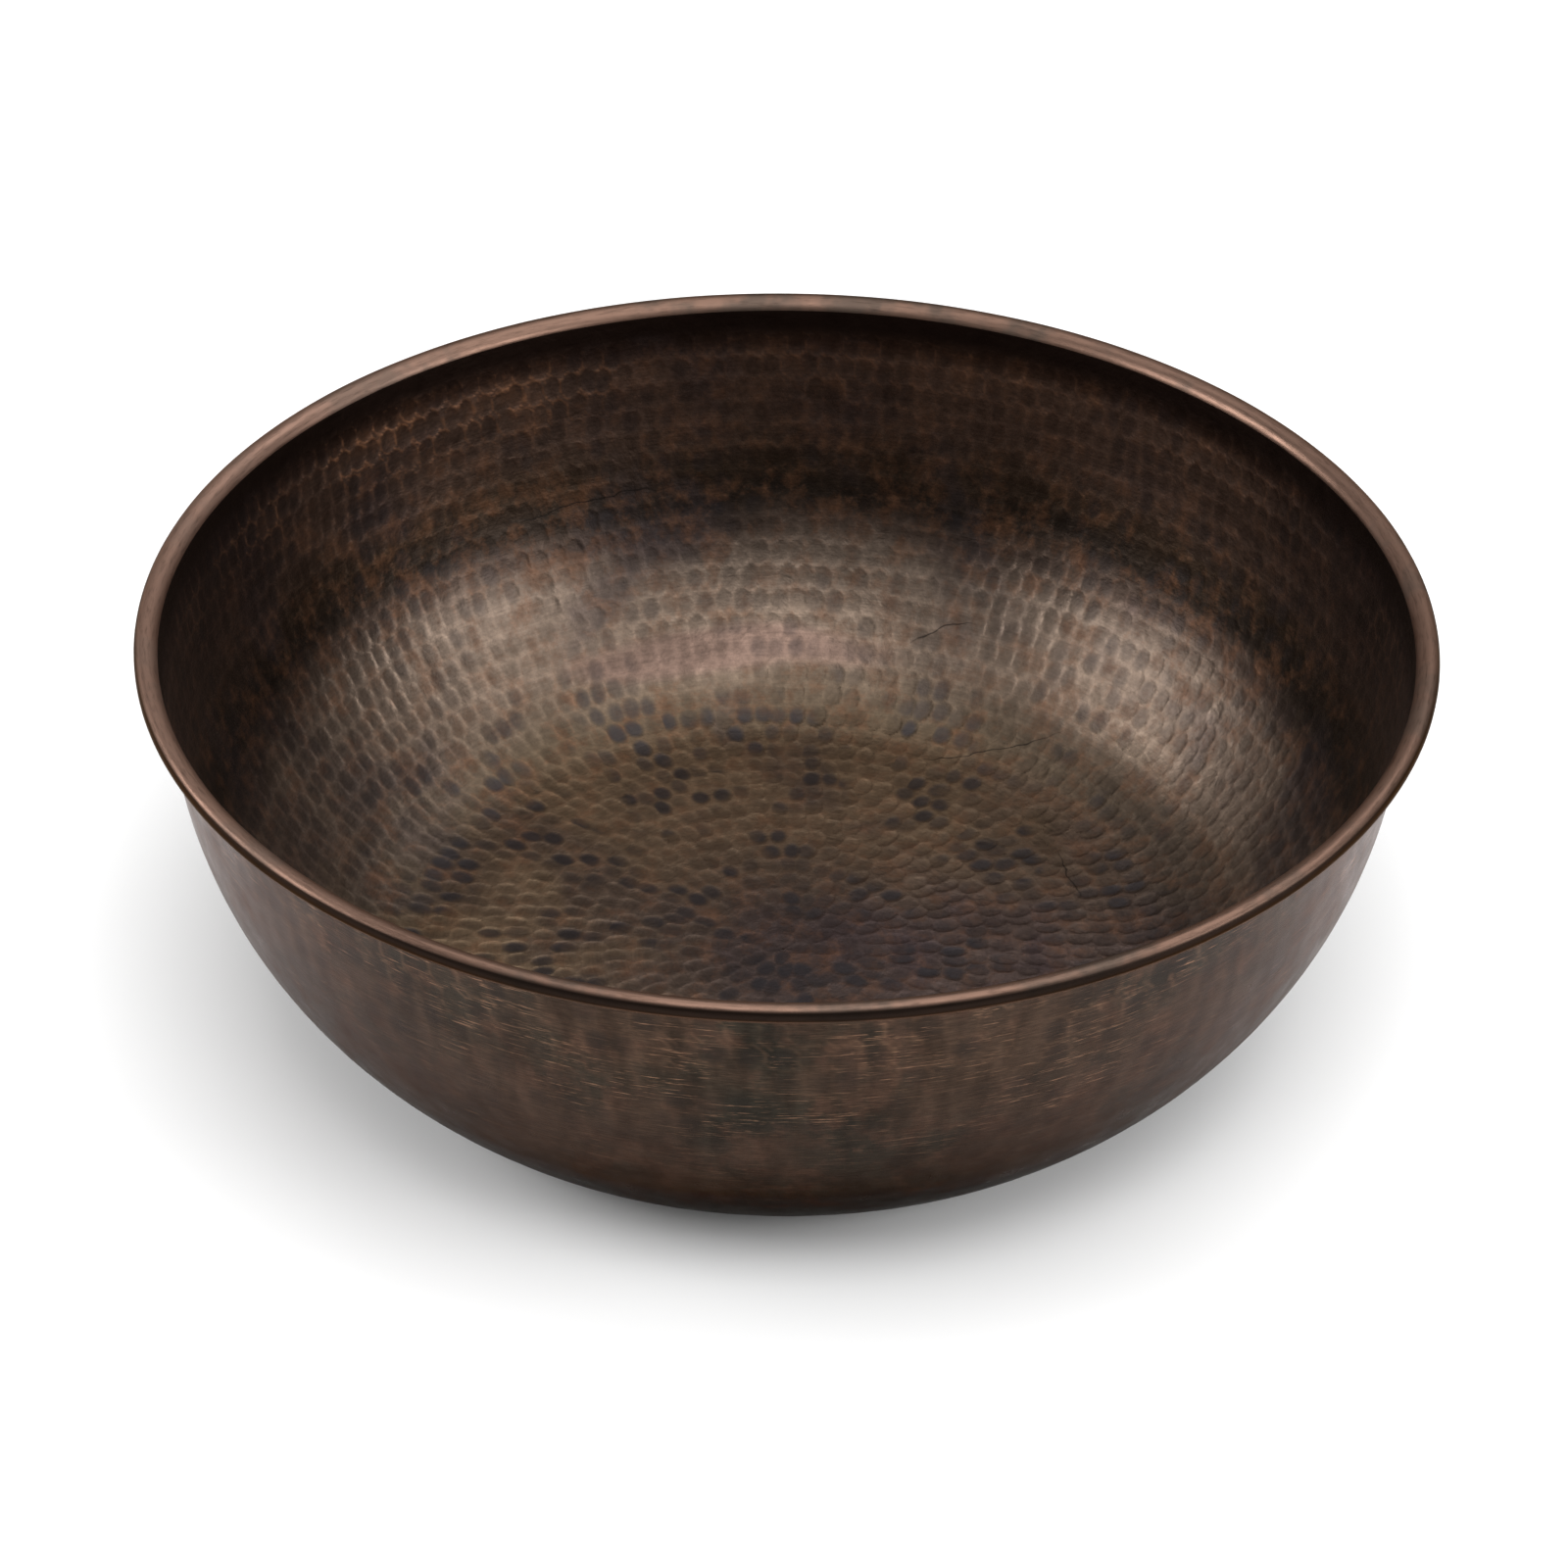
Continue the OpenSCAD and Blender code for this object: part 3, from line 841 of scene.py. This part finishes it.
# The edge of the sheet rolled over the wire: a closed loop of section carried round the bowl.
def makeRolledRim():
    columns, over, under = grid["rimColumns"], grid["rimOver"], grid["rimUnder"]
    overAlong = np.linspace(flareStart, rollEnd, over)
    underAlong = np.linspace(rollEnd, flareStart, under)
    turned = np.arange(columns) * 2 * np.pi / columns
    points, normals = [], []
    for row, inset, relief in ((overAlong, sheet["thickness"], rimRelief), (underAlong, 0, noRelief)):
        angle, along = [part.ravel() for part in np.meshgrid(turned, row)]
        points.append(surfacePoints(angle, along, inset, relief))
        normals.append(surfaceNormals(angle, along, inset, relief))
    number = np.arange((over + under) * columns).reshape(-1, columns)
    nextRow = np.roll(number, -1, axis=0)
    quads = np.stack([number, nextRow, np.roll(nextRow, -1, axis=1), np.roll(number, -1, axis=1)], axis=-1)
    along = np.repeat(np.concatenate([overAlong, underAlong]), columns)
    numbers = noRelief(along, along)[1] | {"along": along * mm}
    makePiece("rolledRim", np.concatenate(points), np.concatenate(normals), quads.reshape(-1, 4),
              np.zeros((0, 3), int), numbers, rubbedCopper())


makeFace("insideFloor", grid["wallSkins"], grid["insideRings"], grid["insideStep"], grid["wallStep"],
         grid["insideCoarser"], sheet["thickness"], insideRelief, oxidisedCopper())
makeFace("outsideFloor", ("outsideWall",), grid["outsideRings"], grid["outsideStep"], grid["outsideWallStep"],
         grid["outsideCoarser"], 0, outsideRelief, planishedCopper())
makeRolledRim()
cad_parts["rim_wire"].data.materials.clear()
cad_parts["rim_wire"].data.materials.append(ironWire())
print("bowl made")

# A plain white table, and soft lights in metres: a broad one overhead, one high in front, one at each side.
stage = {
    "size": 12.0,  # the table's side
    "white": 0.9,
    "surround": 0.45,  # the room's even light
    "panels": {
        "overhead": {"place": (0.4, 0.1, 2.0), "size": (2.8, 2.5), "radiance": 1.9},
        "high": {"place": (0, -0.80, 1.30), "size": (0.75, 0.5), "radiance": 4.2},
        "left": {"place": (-1.36, -0.05, 0.70), "size": (0.95, 0.5), "radiance": 8.8},
        "right": {"place": (1.28, -0.52, 0.62), "size": (0.9, 0.45), "radiance": 9.0},
    },
}


# The table is one square of matt white paper.
def makeFloor():
    half = stage["size"] / 2
    mesh = bpy.data.meshes.new("floor")
    mesh.from_pydata([(-half, -half, 0), (half, -half, 0), (half, half, 0), (-half, half, 0)], [], [(0, 1, 2, 3)])
    material, tree = newMaterial("Matt white paper")
    shader = addNode(tree, "BsdfPrincipled", {"Base Color": (stage["white"],) * 3 + (1.0,), "Roughness": 0.9})
    addNode(tree, "OutputMaterial", {0: shader.outputs[0]})
    mesh.materials.append(material)
    floor = bpy.data.objects.new("floor", mesh)
    bpy.context.scene.collection.objects.link(floor)


# A soft light faces the bowl. Its power is its radiance times its area times pi.
def makeLights():
    world = bpy.data.worlds.new("studio")
    bpy.context.scene.world = world
    world.use_nodes = True
    background = world.node_tree.nodes["Background"]
    background.inputs["Color"].default_value = (1, 1, 1, 1)
    background.inputs["Strength"].default_value = stage["surround"]
    for name, panel in stage["panels"].items():
        data = bpy.data.lights.new(name, "AREA")
        data.shape = "RECTANGLE"
        data.size, data.size_y = panel["size"]
        data.energy = panel["radiance"] * panel["size"][0] * panel["size"][1] * math.pi
        light = bpy.data.objects.new(name, data)
        light.location = panel["place"]
        light.rotation_euler = (-Vector(panel["place"])).to_track_quat("-Z", "Y").to_euler()
        light.visible_camera = False
        bpy.context.scene.collection.objects.link(light)


# The camera looks down at the bowl from the front, and its angles are in degrees.
view = {
    "elevation": 33.27,
    "distance": 6.9,  # in outer radii, from the rim's middle
    "tiltDown": 2.15,  # how far below the rim's middle it looks
    "sideways": 0.02,
    "roll": 0.67,
    "sensorWidth": 36.0,  # mm
    "focal": 2.85375,  # focal length in sensor widths
}


# The camera stands on a ray from the rim's middle at its elevation, and is turned down by that and its tilt.
def makeCamera():
    radius = shellHigh[0]
    rimMiddle = Vector((0, 0, shellHigh[2] - sheet["beadRadius"] * mm))
    lift, reach = math.radians(view["elevation"]), view["distance"] * radius
    place = rimMiddle + Vector((0, -math.cos(lift), math.sin(lift))) * reach
    down = math.radians(view["elevation"] + view["tiltDown"])
    turn = Matrix.Rotation(math.radians(view["sideways"]), 4, "Z")
    pitch = Matrix.Rotation(math.pi / 2 - down, 4, "X")
    roll = Matrix.Rotation(math.radians(view["roll"]), 4, "Z")
    data = bpy.data.cameras.new("camera")
    data.sensor_width = view["sensorWidth"]
    data.lens = view["focal"] * view["sensorWidth"]
    data.clip_end = 20
    camera = bpy.data.objects.new("camera", data)
    camera.matrix_world = Matrix.Translation(place) @ turn @ pitch @ roll
    bpy.context.scene.collection.objects.link(camera)
    bpy.context.scene.camera = camera


makeFloor()
makeLights()
makeCamera()
bpy.context.scene.view_settings.view_transform = "Standard"
print("stage set")
